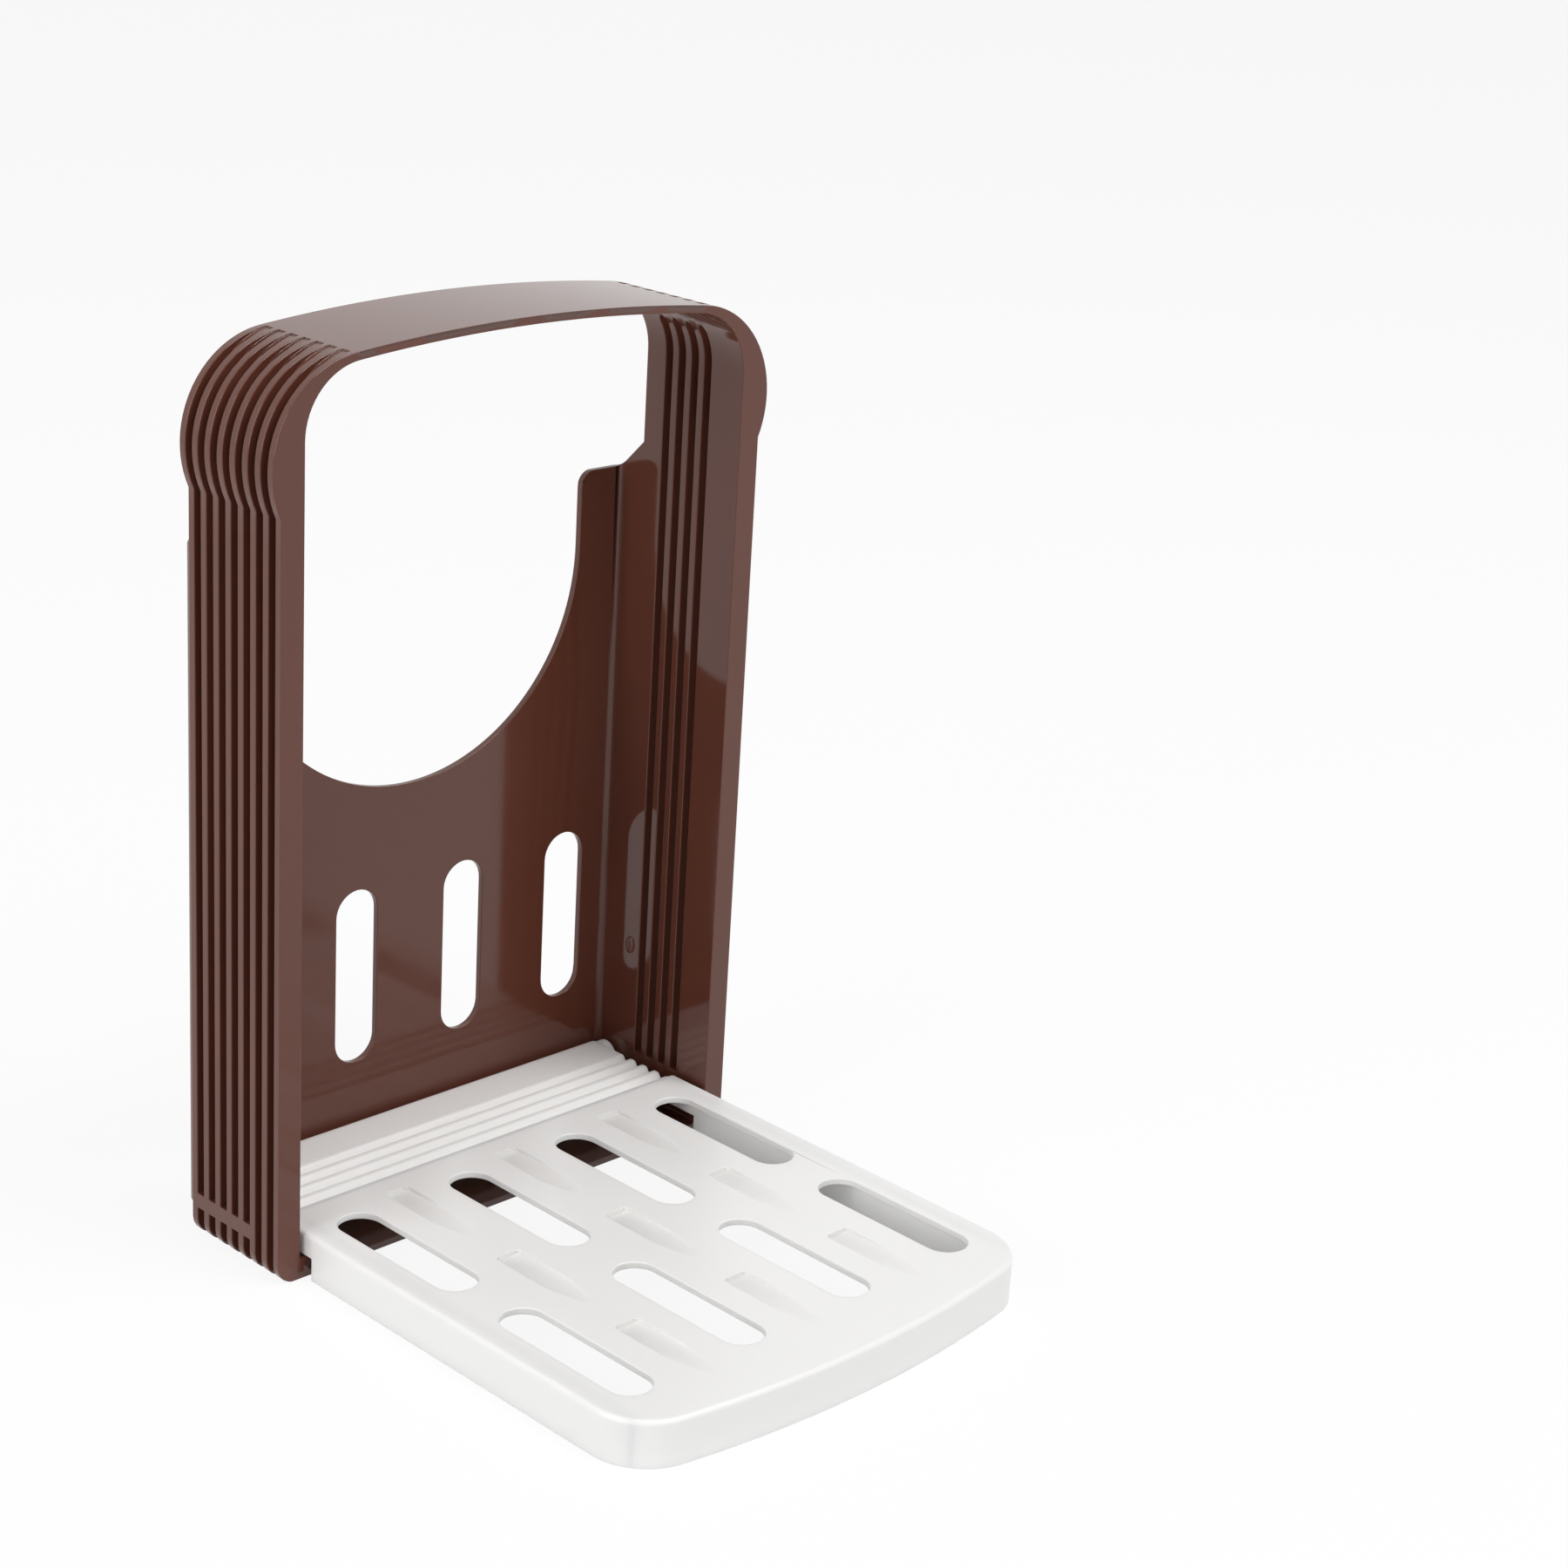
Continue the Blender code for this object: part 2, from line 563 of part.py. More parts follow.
def tray():
    piece = part("tray", rounded_deck(REST_START), WHITE, 0.35, HINGE)

    hollow_outline = tray_outline(SKIRT, REST_START + PAST)
    hollow = slab("hollow", [hollow_outline], "XY", -PAST, DECK_TOP - DECK_THICKNESS)
    boolean(piece, "DIFFERENCE", cutter("tray_hollow", [hollow]))

    # A rib under the deck along each side; through the outer slots only this rib shows.
    ribs = []
    for side in (-1, 1):
        ends = sorted((side * (TRAY_HALF - RIB_FROM_SIDE), side * (TRAY_HALF - RIB_FROM_SIDE - RIB_THICKNESS)))
        along = box_outline(RIB_FRONT_MARGIN - TRAY_REACH, 0, REST_START, DECK_TOP - DECK_THICKNESS / 2)
        ribs.append(slab("rib", [along], "YZ", *ends))
    boolean(piece, "UNION", cutter("tray_ribs", ribs))

    notch = [(-NOTCH_REACH, -PAST)]
    notch += arc(NOTCH_RADIUS - NOTCH_REACH, NOTCH_TOP - NOTCH_RADIUS, NOTCH_RADIUS, pi, pi / 2)
    notch += [(REST_START + PAST, NOTCH_TOP), (REST_START + PAST, -PAST)]
    notch_block = slab("notch", [notch], "YZ", -TRAY_HALF - PAST, TRAY_HALF + PAST)
    boolean(piece, "DIFFERENCE", cutter("tray_notch", [notch_block]))

    slots = []
    for row in range(SLOT_ROWS):
        rear_y = SLOT_START - row * (SLOT_LENGTH + SLOT_ROW_GAP)
        for column in range(SLOT_COLUMNS):
            outline = obround(column_x(column, SLOT_PITCH), rear_y - SLOT_LENGTH, rear_y, SLOT_WIDTH)
            slots.append(slab("slot", [outline], "XY", DECK_TOP - DECK_THICKNESS - PAST, DECK_TOP + PAST))
    boolean(piece, "DIFFERENCE", cutter("tray_slots", slots))

    pockets = [pocket_wedge(column_x(column + 0.5, SLOT_PITCH), POCKET_START - row * POCKET_PITCH)
               for row in range(POCKET_ROWS) for column in range(SLOT_COLUMNS - 1)]
    boolean(piece, "DIFFERENCE", cutter("tray_pockets", pockets))

    rest = bpy.data.objects.new("knife_rest", slab("knife_rest", [rest_profile()], "YZ", -REST_HALF, REST_HALF))
    rest.parent = REFERENCE
    rest.hide_render = True
    rest.display_type = "WIRE"
    CUTTERS.objects.link(rest)
    under = box_outline(REST_START - SKIRT, REAR_BOTTOM - PAST, TRAY_REAR - SKIRT,
                        DECK_TOP - GROOVE_DEPTH - SKIRT)
    inside = REST_HALF - SKIRT
    boolean(rest, "DIFFERENCE", cutter("knife_rest_hollow", [slab("under", [under], "YZ", -inside, inside)]))
    boolean(piece, "UNION", rest)

    ear_out = BAY_HALF - PIVOT_EAR_GAP
    for side, label in ((-1, "left"), (1, "right")):
        ends = sorted((side * (REST_HALF - SKIRT / 2), side * ear_out))
        ear = cylinder_along_x(label + "_ear", PIVOT_EAR_RADIUS, *ends, PIVOT_Y, PIVOT_HEIGHT)
        boolean(piece, "UNION", cutter(label + "_pivot_ear", [ear]))
        ends = sorted((side * (ear_out - PIVOT_EAR_GAP), side * (SKIN_OUT - SEAM)))
        stub = cylinder_along_x(label + "_stub", STUB_RADIUS, *ends, PIVOT_Y, PIVOT_HEIGHT)
        boolean(piece, "UNION", cutter(label + "_pivot_stub", [stub]))


top_arch()
for wall_side, wall_label in ((-1, "left"), (1, "right")):
    corner(wall_side, wall_label)
    side_wall(wall_side, wall_label)
    foot(wall_side, wall_label)
back_panel()
bottom_plate()
tray()
shade_by_angle(PIECES)
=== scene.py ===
from math import atan2, cos, pi, radians, sin, sqrt

import bmesh
import bpy
from mathutils import Matrix, Vector


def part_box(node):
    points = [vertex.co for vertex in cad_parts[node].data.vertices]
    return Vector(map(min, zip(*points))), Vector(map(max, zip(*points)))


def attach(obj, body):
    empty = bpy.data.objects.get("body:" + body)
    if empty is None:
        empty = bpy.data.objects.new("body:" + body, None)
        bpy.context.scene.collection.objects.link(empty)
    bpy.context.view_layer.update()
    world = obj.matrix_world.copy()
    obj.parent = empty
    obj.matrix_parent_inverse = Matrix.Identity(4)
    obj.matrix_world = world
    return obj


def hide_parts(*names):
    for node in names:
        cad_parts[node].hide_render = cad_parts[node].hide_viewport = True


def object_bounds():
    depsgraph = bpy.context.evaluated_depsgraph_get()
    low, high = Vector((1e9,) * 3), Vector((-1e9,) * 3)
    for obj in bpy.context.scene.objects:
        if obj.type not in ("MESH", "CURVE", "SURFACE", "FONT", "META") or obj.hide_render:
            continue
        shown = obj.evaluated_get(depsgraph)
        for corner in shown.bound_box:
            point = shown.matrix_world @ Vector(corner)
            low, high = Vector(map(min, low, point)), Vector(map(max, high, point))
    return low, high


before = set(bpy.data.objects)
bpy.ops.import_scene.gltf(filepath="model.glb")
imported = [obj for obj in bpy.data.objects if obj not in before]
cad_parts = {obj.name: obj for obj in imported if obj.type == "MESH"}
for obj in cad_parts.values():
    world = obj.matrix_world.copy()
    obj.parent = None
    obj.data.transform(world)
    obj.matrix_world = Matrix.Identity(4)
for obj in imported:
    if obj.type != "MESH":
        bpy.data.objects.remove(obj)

cad_low, cad_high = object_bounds()


# Frame moulding: side walls, corners and arch.
# One piece of glossy dark brown plastic. Each wall is a thin skin with eight upright fins outside it,
# four knife slits through the skin, and a corner where the fins bulge out and curve over into the arch.

arch_low, arch_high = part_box("top_arch")
foot_low, foot_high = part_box("right_foot")
panel_low, panel_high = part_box("back_panel")
front_y = arch_low.y
rib_depth = arch_high.y - arch_low.y
height = arch_high.z
bay_half = foot_low.x
ear_reach = cad_high.x
skin = 0.0018
fin_reach = foot_high.x - bay_half
fin_thick = 0.0022
slit_wide = 0.0025
slit_round = slit_wide / 2
fin_pitch = fin_thick + slit_wide
fin_count = 8
slit_gaps = (2, 3, 4, 5)
slit_bottom = 0.0120
slit_top_turn = radians(52)
foot_round = 0.0050
bar_low = 0.0080
bar_front = 2 * fin_pitch
return_top = panel_high.z
panel_top = 0.1740
box_bottom = panel_low.z
ledge_top = 0.0055
plate_thick = 0.0020
plate_deep = 0.0310
tiny = 1e-6

crown_radius = 0.4900
crown_inside = 0.4880
corner_radius = 0.0168
ear_radius = 0.0250
crown_z = height - crown_radius
corner_x = bay_half - corner_radius
corner_z = crown_z + sqrt((crown_inside - corner_radius) ** 2 - corner_x ** 2)
lean = atan2(corner_x, corner_z - crown_z)
ear_x = ear_reach - ear_radius
ear_z = crown_z + sqrt((crown_radius - ear_radius) ** 2 - ear_x ** 2)
kink_z = ear_z - sqrt(ear_radius ** 2 - (bay_half + fin_reach - ear_x) ** 2)
crown_run = crown_inside * lean
corner_run = corner_radius * (pi / 2 - lean)
wall_start = crown_run + corner_run


def along_wall(z):
    """Distance along the inner face, from the middle of the arch down to a height on the wall."""
    return wall_start + corner_z - z


def inner_face(s):
    """Point on the inner face and the direction out of it, at a distance from the middle of the arch."""
    if s <= crown_run:
        turn = s / crown_inside
        point = Vector((crown_inside * sin(turn), 0, crown_z + crown_inside * cos(turn)))
        return point, Vector((sin(turn), 0, cos(turn)))
    if s <= wall_start:
        turn = lean + (s - crown_run) / corner_radius
        out = Vector((sin(turn), 0, cos(turn)))
        return Vector((corner_x, 0, corner_z)) + corner_radius * out, out
    return Vector((bay_half, 0, corner_z - (s - wall_start))), Vector((1, 0, 0))


def fin_height(s):
    """How far a fin's outer edge stands from the inner face."""
    point, out = inner_face(s)
    if s <= crown_run:
        return crown_radius - crown_inside
    if s <= wall_start:
        base = Vector((corner_x, 0, corner_z))
        for centre, radius, beyond in ((Vector((0, 0, crown_z)), crown_radius, False),
                                       (Vector((ear_x, 0, ear_z)), ear_radius, True)):
            ahead = out.dot(centre - base)
            reach = ahead + sqrt(ahead ** 2 - (centre - base).length_squared + radius ** 2)
            if beyond or (base + reach * out).x <= step_x:
                return reach - corner_radius
    if point.z > kink_z:
        return ear_x + sqrt(ear_radius ** 2 - (point.z - ear_z) ** 2) - bay_half
    if point.z < foot_round:
        drop = foot_round - point.z
        return max(fin_reach - foot_round + sqrt(foot_round ** 2 - drop ** 2), skin + 0.0003)
    return fin_reach


# The grooves between the fins end in a low step, just past the arch.
step_x = crown_radius * ear_x / (crown_radius - ear_radius)
step_z = crown_z + sqrt(crown_radius ** 2 - step_x ** 2)
step_turn = atan2(step_x - corner_x, step_z - corner_z)
step_s = crown_run + corner_radius * (step_turn - lean)
slit_top = crown_run + corner_radius * (slit_top_turn - lean)
past_slit_end = slit_top + 0.0016

# Lines across the wall, by their distance from the middle of the arch. They lie closer together in the curves
# and at the foot's rounded lower edge.
stations = [crown_run * i / 8 for i in range(9)]
stations += [step_s]
stations += [step_s + (slit_top - step_s) * i / 9 for i in range(1, 10)]
stations += [past_slit_end + (wall_start - past_slit_end) * i / 6 for i in range(7)]
stations += [along_wall(corner_z + (kink_z - corner_z) * i / 9) for i in range(1, 10)]
stations += [along_wall(z) for z in (return_top, panel_top, 0.1200, 0.0650, slit_bottom, bar_low, ledge_top,
                                     box_bottom, 0.0034, plate_thick, 0.0011, 0.0004, 0.0)]


def gap_middle(gap):
    """Depth of the middle of a gap between two fins."""
    return gap * fin_pitch + fin_thick + slit_round


# Lines along the wall, by their depth from its front face: both sides of each fin, and more inside a slit.
depth_lines = [plate_deep]
for fin in range(fin_count):
    depth_lines += [fin * fin_pitch, fin * fin_pitch + fin_thick]
for gap in slit_gaps:
    depth_lines += [gap_middle(gap) + share * slit_round for share in (-0.85, -0.5, 0, 0.5, 0.85)]
depth_lines = sorted(depth_lines)


def in_gap(y, gaps):
    """Whether a depth lies in one of the gaps between fins."""
    return any(gap * fin_pitch + fin_thick < y < (gap + 1) * fin_pitch for gap in gaps)


def whole(faces):
    """Faces with their edges and corners, each once and always in the same order."""
    return list(dict.fromkeys(part for f in faces for part in (f, *f.edges, *f.verts)))


def push_out(mesh, faces, move):
    """Extrudes a region of faces along a vector, and gives back its vertices."""
    grown = bmesh.ops.extrude_face_region(mesh, geom=whole(faces))["geom"]
    moved = [part for part in grown if isinstance(part, bmesh.types.BMVert)]
    bmesh.ops.translate(mesh, verts=moved, vec=move)
    return moved


def faces_at(mesh, fits):
    """The faces whose corners all pass a test."""
    return [f for f in mesh.faces if all(fits(v.co) for v in f.verts)]


# Half of the wall is laid out flat, along by depth, cut, thickened, and then bent to its curve.
wall = bmesh.new()
along_steps, depth_steps = len(stations) - 1, len(depth_lines) - 1
bmesh.ops.create_grid(wall, x_segments=along_steps, y_segments=depth_steps, size=0.5)
for v in wall.verts:
    station, line = round((v.co.x + 0.5) * along_steps), round((v.co.y + 0.5) * depth_steps)
    v.co = (stations[station], depth_lines[line], 0)

slit_faces = []
for f in wall.faces:
    mid = f.calc_center_median()
    if slit_top < mid.x < along_wall(slit_bottom) and in_gap(mid.y, slit_gaps):
        slit_faces.append(f)
bmesh.ops.delete(wall, geom=slit_faces, context="FACES")
for v in wall.verts:
    if abs(v.co.x - slit_top) < tiny:
        for gap in slit_gaps:
            off = v.co.y - gap_middle(gap)
            if abs(off) < slit_round + tiny:
                v.co.x = slit_top + slit_round - sqrt(max(slit_round ** 2 - off ** 2, 0))

push_out(wall, wall.faces[:], (0, 0, skin))

raised = []
for f in faces_at(wall, lambda p: abs(p.z - skin) < tiny):
    mid = f.calc_center_median()
    on_fin = not in_gap(mid.y, range(fin_count - 1))
    on_bar = along_wall(slit_bottom) < mid.x < along_wall(bar_low) and mid.y > bar_front
    if on_fin or on_bar or mid.x < step_s:
        raised.append(f)
for v in push_out(wall, raised, (0, 0, 0)):
    v.co.z = fin_height(v.co.x)


# Frame moulding: back box.
# Behind the fins the skin runs on as a return, turns a small round corner and becomes the back panel.
# The returns' top edges slope down to the panel, which has a big round cut-out and four upright slots.

panel_face = panel_high.y - front_y - skin
box_corner = 0.0020
turn_y = panel_face - box_corner

rear_end = [f for f in faces_at(wall, lambda p: abs(p.y - rib_depth) < tiny and p.z < skin + tiny)
            if along_wall(return_top) < f.calc_center_median().x < along_wall(box_bottom)]
push_out(wall, rear_end, (0, turn_y - rib_depth, 0))
rear_end = faces_at(wall, lambda p: abs(p.y - turn_y) < tiny)
bmesh.ops.spin(wall, geom=whole(rear_end), steps=7, cent=(0, turn_y, -box_corner), axis=(1, 0, 0),
               angle=-pi / 2, use_duplicate=False)
for v in wall.verts:
    if v.co.y > rib_depth + tiny:
        slope = return_top - (v.co.y - rib_depth) * (return_top - panel_top) / (panel_face - rib_depth)
        highest = along_wall(max(slope, panel_top))
        v.co.x = max(v.co.x, highest)
bmesh.ops.remove_doubles(wall, verts=wall.verts, dist=tiny)
bmesh.ops.dissolve_degenerate(wall, edges=wall.edges, dist=1e-7)

for v in wall.verts:
    point, out = inner_face(v.co.x)
    v.co = point + out * v.co.z + Vector((0, v.co.y + front_y, 0))


def loop(mesh, points):
    """A closed ring of edges through points."""
    verts = [mesh.verts.new(p) for p in points]
    return [mesh.edges.new((verts[i - 1], verts[i])) for i in range(len(verts))]


def around(cx, cz, radius, start, end, steps):
    """Points on an arc in a flat plane, from one turn to another."""
    turns = [start + (end - start) * i / steps for i in range(steps + 1)]
    return [(cx + radius * cos(turn), cz + radius * sin(turn)) for turn in turns]


# The panel's half outline is filled flat between the round corner, the mid-plane and the openings,
# and is then thickened.
cut_radius = 0.0537
cut_bottom = 0.1004
cut_z = cut_bottom + cut_radius
shoulder = 0.0040
back_slot_half = 0.0065
back_slot_pitch = 0.0347
back_slot_top = 0.0750
back_slot_bottom = 0.0275
end_x = bay_half - box_corner
y_in = front_y + panel_face


def panel_end(p):
    """Whether a point lies where the round corner meets the panel."""
    return abs(p.x - end_x) < tiny and p.y > y_in - tiny


bmesh.ops.delete(wall, geom=faces_at(wall, panel_end), context="FACES_ONLY")
edge_chain = [e for e in wall.edges if all(panel_end(v.co) and abs(v.co.y - y_in) < tiny for v in e.verts)]
chain_verts = sorted({v for e in edge_chain for v in e.verts}, key=lambda v: v.co.z)

shape = [(cut_radius + shoulder, panel_top)]
shape += around(cut_radius + shoulder, panel_top - shoulder, shoulder, pi / 2, pi, 8)[1:]
shape += around(0, cut_z, cut_radius, 0, -pi / 2, 32)
shape += [(0, box_bottom)]
fresh = [wall.verts.new((x, y_in, z)) for x, z in shape]
run = [chain_verts[-1]] + fresh + [chain_verts[0]]
rim = edge_chain + [wall.edges.new((run[i], run[i + 1])) for i in range(len(run) - 1)]
for column in (0.5, 1.5):
    x = column * back_slot_pitch
    ends = around(x, back_slot_top - back_slot_half, back_slot_half, 0, pi, 16)
    ends += around(x, back_slot_bottom + back_slot_half, back_slot_half, pi, 2 * pi, 16)
    rim += loop(wall, [(px, y_in, pz) for px, pz in ends])
filled = bmesh.ops.triangle_fill(wall, use_beauty=True, use_dissolve=False, edges=rim)["geom"]
panel = [f for f in filled if isinstance(f, bmesh.types.BMFace)]
grown = bmesh.ops.extrude_face_region(wall, geom=panel, use_keep_orig=True)["geom"]
bmesh.ops.translate(wall, verts=[v for v in grown if isinstance(v, bmesh.types.BMVert)], vec=(0, skin, 0))
bmesh.ops.delete(wall, geom=faces_at(wall, panel_end), context="FACES_ONLY")
bmesh.ops.remove_doubles(wall, verts=wall.verts, dist=1e-5)


# Frame moulding: bottom plate and ledges.
# Under the tray a thin plate ties the two walls together, with a low ledge along each wall.
# It ends short of the back panel, and its straight front edge shows through the tray's slots.

ledge_x = 0.0645
plate_rear = front_y + plate_deep


def low_faces(x, top):
    """The faces at one place across the width, up to a height, in front of the plate's rear edge."""
    return faces_at(wall, lambda p: abs(p.x - x) < tiny and p.z < top + tiny and p.y < plate_rear + tiny)


push_out(wall, low_faces(bay_half, ledge_top), (ledge_x - bay_half, 0, 0))
push_out(wall, low_faces(ledge_x, plate_thick), (-ledge_x, 0, 0))

bmesh.ops.delete(wall, geom=faces_at(wall, lambda p: abs(p.x) < tiny), context="FACES_ONLY")
bmesh.ops.mirror(wall, geom=wall.verts[:] + wall.edges[:] + wall.faces[:], matrix=Matrix.Identity(4),
                 merge_dist=1e-5, axis="X")
bmesh.ops.remove_doubles(wall, verts=wall.verts, dist=1e-5)
bmesh.ops.delete(wall, geom=[e for e in wall.edges if not e.link_faces], context="EDGES")
bmesh.ops.delete(wall, geom=[v for v in wall.verts if not v.link_faces], context="VERTS")
bmesh.ops.recalc_face_normals(wall, faces=wall.faces)

# A low oval bump on each wall's inner face steadies the folded tray.
bump_y = front_y + 0.0317
bump_z = 0.0425
bump_radii = (0.0010, 0.0015, 0.0025)
for side in (-1, 1):
    seat = Matrix.Translation((side * bay_half, bump_y, bump_z))
    bmesh.ops.create_uvsphere(wall, u_segments=32, v_segments=20, radius=1.0,
                              matrix=seat @ Matrix.Diagonal((*bump_radii, 1)))


def finished(name, mesh):
    """The bmesh as an object, smooth shaded."""
    data = bpy.data.meshes.new(name)
    mesh.to_mesh(data)
    mesh.free()
    data.shade_smooth()
    made = bpy.data.objects.new(name, data)
    bpy.context.scene.collection.objects.link(made)
    return made


def soft_edges(piece, width, segments, angle):
    """Rounds the piece's sharp edges with a small radius, and keeps its flat faces flat."""
    edge = piece.modifiers.new("edges", "BEVEL")
    edge.width = width
    edge.segments = segments
    edge.limit_method = "ANGLE"
    edge.angle_limit = angle
    edge.harden_normals = True
    edge.use_clamp_overlap = False


def cut(piece, tool):
    """Cuts one mesh with another, applies the cut, and removes the tool."""
    step = piece.modifiers.new("cut", "BOOLEAN")
    step.operation = "DIFFERENCE"
    step.solver = "EXACT"
    step.object = tool
    bpy.context.view_layer.update()
    data = bpy.data.meshes.new_from_object(piece.evaluated_get(bpy.context.evaluated_depsgraph_get()))
    piece.modifiers.clear()
    piece.data = data
    data.name = piece.name
    bpy.data.objects.remove(tool)


frame_moulding = finished("frame_moulding", wall)

# The tray's pivot stubs turn in round holes through the returns.
pivot_y = front_y + panel_face - 0.0049
pivot_z = 0.0082
hole_radius = 0.0019
drill_long = 0.2
drill = bmesh.new()
bmesh.ops.create_cone(drill, cap_ends=True, segments=48, radius1=hole_radius, radius2=hole_radius,
                      depth=drill_long,
                      matrix=Matrix.Translation((0, pivot_y, pivot_z)) @ Matrix.Rotation(pi / 2, 4, "Y"))
cut(frame_moulding, finished("pivot_drill", drill))
soft_edges(frame_moulding, width=0.00028, segments=2, angle=radians(40))


def node(tree, kind, **values):
    """A shader node with its sockets and settings."""
    made = tree.nodes.new(kind)
    for name, value in values.items():
        if hasattr(made, name):
            setattr(made, name, value)
        else:
            made.inputs[name.replace("_", " ")].default_value = value
    return made


brown = bpy.data.materials.new("glossy_brown_plastic")
brown.use_nodes = True
tree = brown.node_tree
shader = tree.nodes["Principled BSDF"]
shader.inputs["IOR"].default_value = 1.47
shader.inputs["Subsurface Weight"].default_value = 0.1
shader.inputs["Subsurface Radius"].default_value = (1.0, 0.30, 0.15)
shader.inputs["Subsurface Scale"].default_value = 0.0025
place = node(tree, "ShaderNodeTexCoord")
flow = node(tree, "ShaderNodeTexNoise", Scale=22.0, Detail=3.0, Roughness=0.5)
tint = node(tree, "ShaderNodeMix", data_type="RGBA")
tint.inputs["A"].default_value = (0.112, 0.036, 0.022, 1)
tint.inputs["B"].default_value = (0.136, 0.045, 0.028, 1)
polish = node(tree, "ShaderNodeMapRange", From_Min=0.0, From_Max=1.0, To_Min=0.04, To_Max=0.14)
grain = node(tree, "ShaderNodeTexNoise", Scale=900.0, Detail=2.0, Roughness=0.5)
wave = node(tree, "ShaderNodeTexNoise", Scale=38.0, Detail=1.0, Roughness=0.4)
ripple = node(tree, "ShaderNodeBump", Strength=0.05, Distance=0.0006)
dimple = node(tree, "ShaderNodeBump", Strength=0.03, Distance=0.00005)
tree.links.new(place.outputs["Object"], flow.inputs["Vector"])
tree.links.new(place.outputs["Object"], grain.inputs["Vector"])
tree.links.new(place.outputs["Object"], wave.inputs["Vector"])
tree.links.new(flow.outputs["Fac"], tint.inputs["Factor"])
tree.links.new(tint.outputs["Result"], shader.inputs["Base Color"])
tree.links.new(flow.outputs["Fac"], polish.inputs["Value"])
tree.links.new(polish.outputs["Result"], shader.inputs["Roughness"])
tree.links.new(wave.outputs["Fac"], ripple.inputs["Height"])
tree.links.new(ripple.outputs["Normal"], dimple.inputs["Normal"])
tree.links.new(grain.outputs["Fac"], dimple.inputs["Height"])
tree.links.new(dimple.outputs["Normal"], shader.inputs["Normal"])
frame_moulding.data.materials.clear()
frame_moulding.data.materials.append(brown)

frame_nodes = [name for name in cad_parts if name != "tray"]
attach(frame_moulding, "frame")
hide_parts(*frame_nodes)


# Tray.
# One piece of semi-gloss white plastic that lets a little light through: a flat deck with a rounded top edge
# and a skirt, a bowed front, eight crumb slots, nine ramp pockets, and a grooved knife rest at the rear.

side_play = 0.0013
tray_reach = 0.1240
tray_half = bay_half - side_play
tray_front = front_y - tray_reach
deck_top = 0.0120
deck_rear = front_y + 0.0105
wall_thick = 0.0018
edge_round = 0.0012
bow_radius = 0.3000
front_corner = 0.0160
notch_y = front_y - 0.0025
notch_top = 0.0060
slot_half = 0.0057
slot_pitch = 0.0350
slot_rows = ((front_y + 0.0012, front_y - 0.04565), (front_y - 0.05925, front_y - 0.1061))

bow_y = tray_front + bow_radius
corner_cx = tray_half - front_corner
corner_cy = bow_y - sqrt((bow_radius - front_corner) ** 2 - corner_cx ** 2)
meet = atan2(corner_cy - bow_y, corner_cx)
right_round = around(corner_cx, corner_cy, front_corner, meet, 0, 16)
left_round = [(-x, y) for x, y in reversed(right_round)]
bow = around(0, bow_y, bow_radius, -pi - meet, meet, 48)
plan = left_round + bow[1:-1] + right_round
plan += [(tray_half, notch_y), (tray_half, deck_rear), (-tray_half, deck_rear), (-tray_half, notch_y)]

tray_mesh = bmesh.new()
base = tray_mesh.faces.new([tray_mesh.verts.new((x, y, 0)) for x, y in plan])
push_out(tray_mesh, [base], (0, 0, deck_top))
bmesh.ops.delete(tray_mesh, geom=faces_at(tray_mesh, lambda p: p.z < tiny), context="FACES_ONLY")
bmesh.ops.delete(tray_mesh, geom=faces_at(tray_mesh, lambda p: p.y > deck_rear - tiny), context="FACES_ONLY")
bmesh.ops.recalc_face_normals(tray_mesh, faces=tray_mesh.faces)
top_rim = [e for e in tray_mesh.edges
           if all(v.co.z > deck_top - tiny for v in e.verts) and len(e.link_faces) == 2]
bmesh.ops.bevel(tray_mesh, geom=top_rim, offset=edge_round, segments=6, profile=0.5, affect="EDGES",
                material=-1)

# The skirt is cut away beside the frame's ledge.
bmesh.ops.bisect_plane(tray_mesh, geom=tray_mesh.verts[:] + tray_mesh.edges[:] + tray_mesh.faces[:],
                       plane_co=(0, 0, notch_top), plane_no=(0, 0, 1))
notch = []
for f in tray_mesh.faces:
    mid = f.calc_center_median()
    if mid.z < notch_top and mid.y > notch_y:
        notch.append(f)
bmesh.ops.delete(tray_mesh, geom=notch, context="FACES")

# The deck is opened, and filled again round the slots and the pockets.
bmesh.ops.delete(tray_mesh, geom=faces_at(tray_mesh, lambda p: p.z > deck_top - tiny), context="FACES_ONLY")
for rear, front in slot_rows:
    for column in (-1.5, -0.5, 0.5, 1.5):
        x = column * slot_pitch
        ends = around(x, rear - slot_half, slot_half, 0, pi, 20)
        ends += around(x, front + slot_half, slot_half, pi, 2 * pi, 20)
        loop(tray_mesh, [(px, py, deck_top) for px, py in ends])

# A pocket is a shallow ramp: deepest behind, with a slightly hollow floor that runs out in a blunt point.
pocket_half = 0.0037
pocket_deep = 0.0011
pocket_long = 0.0300
pocket_corner = 0.0012
pocket_straight = 0.0195
pocket_pitch = 0.0421
pocket_rear = front_y + 0.0040
point_share = 1 - pocket_straight / pocket_long
floor_round = pocket_half ** 2 / (2 * pocket_deep * point_share)
blunt = 0.0002
spread = 1.16
pocket_stops = (0, 0.0003, 0.0007, 0.0012, 0.0030, 0.0055, 0.0080, 0.0110, 0.0140, 0.0170, 0.0195, 0.0215,
                0.0235, 0.0252, 0.0267, 0.0279, 0.0288, 0.0295, 0.0300)
stops = len(pocket_stops) - 1


def spot(v):
    """A vertex's place seen from above, rounded so that it can be found again."""
    return round(v.co.x, 6), round(v.co.y, 6)


